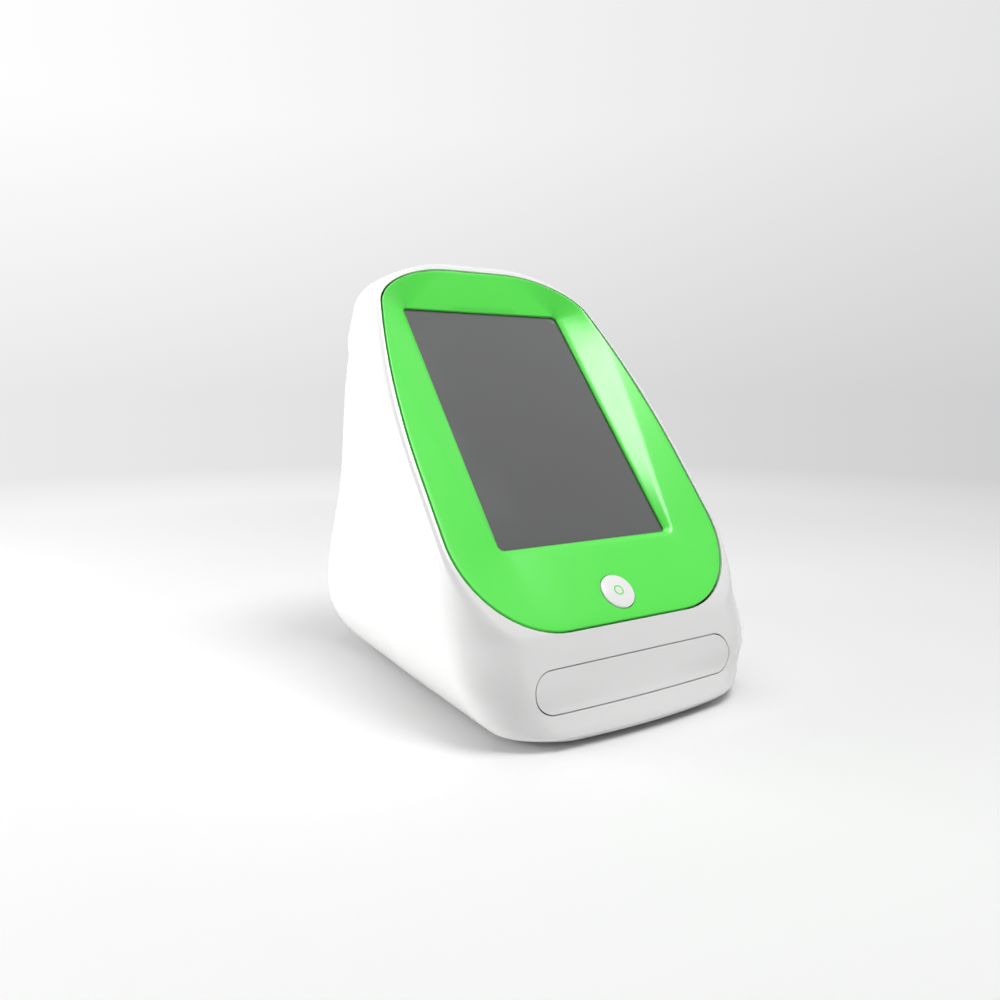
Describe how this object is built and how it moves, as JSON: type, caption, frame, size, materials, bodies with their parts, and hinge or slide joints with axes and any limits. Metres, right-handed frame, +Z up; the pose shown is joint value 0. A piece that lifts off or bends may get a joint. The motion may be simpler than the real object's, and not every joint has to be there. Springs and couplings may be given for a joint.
{
  "type": "immunoassay analyzer",
  "caption": "Desktop immunoassay reader: white wedge casing, green dished bezel round a touch screen, round key, sliding cassette drawer with a scanning optical head.",
  "frame": {"origin": "on the table under the middle of the casing", "axes": "+Z up; -Y towards the user, where the drawer opens; +X to the user's right"},
  "size_m": [0.1724, 0.231, 0.23],
  "materials": {
    "white_shell": "glossy",
    "white_key": "glossy",
    "green_bezel": "glossy",
    "grey_base": "textured",
    "touch_glass": "polished",
    "lens_glass": "polished",
    "black_gasket": "foam",
    "display_can": "satin",
    "steel_sheet": "zinc plated",
    "bright_steel": "ground",
    "brass": "turned",
    "rubber": "matt",
    "natural_plastic": "moulded",
    "black_plastic": "moulded",
    "grey_plastic": "moulded",
    "circuit_board": "solder mask",
    "flat_cable": "film"
  },
  "bodies": {
    "casing": {"base_screw_1": "bright_steel", "base_screw_2": "bright_steel", "base_screw_3": "bright_steel", "base_screw_4": "bright_steel", "base_tray": "grey_base", "board_plate": "steel_sheet", "board_standoff_1": "brass", "board_standoff_2": "brass", "board_standoff_3": "brass", "board_standoff_4": "brass", "bracket_screw_1": "bright_steel", "bracket_screw_2": "bright_steel", "bracket_screw_3": "bright_steel", "bracket_screw_4": "bright_steel", "connector_plate": "steel_sheet", "cover_screw_left": "bright_steel", "cover_screw_right": "bright_steel", "display_bracket": "steel_sheet", "display_cable": "flat_cable", "display_module": "display_can", "drawer_chassis": "steel_sheet", "drawer_rail_left": "steel_sheet", "drawer_rail_right": "steel_sheet", "drive_bracket": "steel_sheet", "drive_motor": "bright_steel", "front_bezel": "green_bezel", "glass_gasket": "black_gasket", "guide_rod_front": "bright_steel", "guide_rod_rear": "bright_steel", "key_board": "circuit_board", "key_switch": "black_plastic", "main_board": "circuit_board", "main_housing": "white_shell", "network_socket": "bright_steel", "power_inlet": "black_plastic", "rear_cover": "white_shell", "rod_support_left": "grey_plastic", "rod_support_right": "grey_plastic", "rubber_foot_1": "rubber", "rubber_foot_2": "rubber", "rubber_foot_3": "rubber", "rubber_foot_4": "rubber", "scan_motor": "bright_steel", "switch_frame": "black_plastic", "touch_glass": "touch_glass", "usb_socket_1": "bright_steel", "usb_socket_2": "bright_steel"},
    "drawer": {"drawer_front": "white_shell", "drawer_tray": "natural_plastic", "drawer_slide_left": "steel_sheet", "drawer_slide_right": "steel_sheet", "drawer_rack": "natural_plastic"},
    "pinion": {"drive_pinion": "natural_plastic"},
    "scan_head": {"scan_carriage": "black_plastic", "optical_head": "black_plastic", "optical_lens": "lens_glass"},
    "feed_screw": {"lead_screw": "bright_steel"},
    "key": {"home_key": "white_key", "switch_plunger": "natural_plastic"},
    "rocker": {"power_rocker": "black_plastic"}
  },
  "joints": [
    {"name": "drawer_slide", "type": "slide", "parent": "casing", "child": "drawer", "axis": [0, -1, 0], "range_m": [0, 0.08]},
    {"name": "pinion_spin", "type": "hinge", "parent": "casing", "child": "pinion", "pos_m": [-0.04254, -0.00066, 0.0247], "axis": [0, 0, 1], "range_deg": [0, 820]},
    {"name": "scan_slide", "type": "slide", "parent": "casing", "child": "scan_head", "axis": [1, 0, 0], "range_m": [0, 0.07425]},
    {"name": "feed_screw_spin", "type": "hinge", "parent": "casing", "child": "feed_screw", "pos_m": [-0.0594, -0.03766, 0.056], "axis": [1, 0, 0], "range_deg": [0, 2230]},
    {"name": "key_press", "type": "slide", "parent": "casing", "child": "key", "axis": [0, 0.7164, -0.6977], "range_m": [0, 0.0008], "stiffness_N_per_m": 400, "springref_m": -0.0015},
    {"name": "rocker_tip", "type": "hinge", "parent": "casing", "child": "rocker", "pos_m": [-0.03648, 0.0985, 0.033], "axis": [1, 0, 0], "range_deg": [0, 12]}
  ],
  "couplings": [
    {"joint": "pinion_spin", "follows": "drawer_slide", "rad_per_m": 178.57},
    {"joint": "feed_screw_spin", "follows": "scan_slide", "rad_per_m": 523.6}
  ]
}
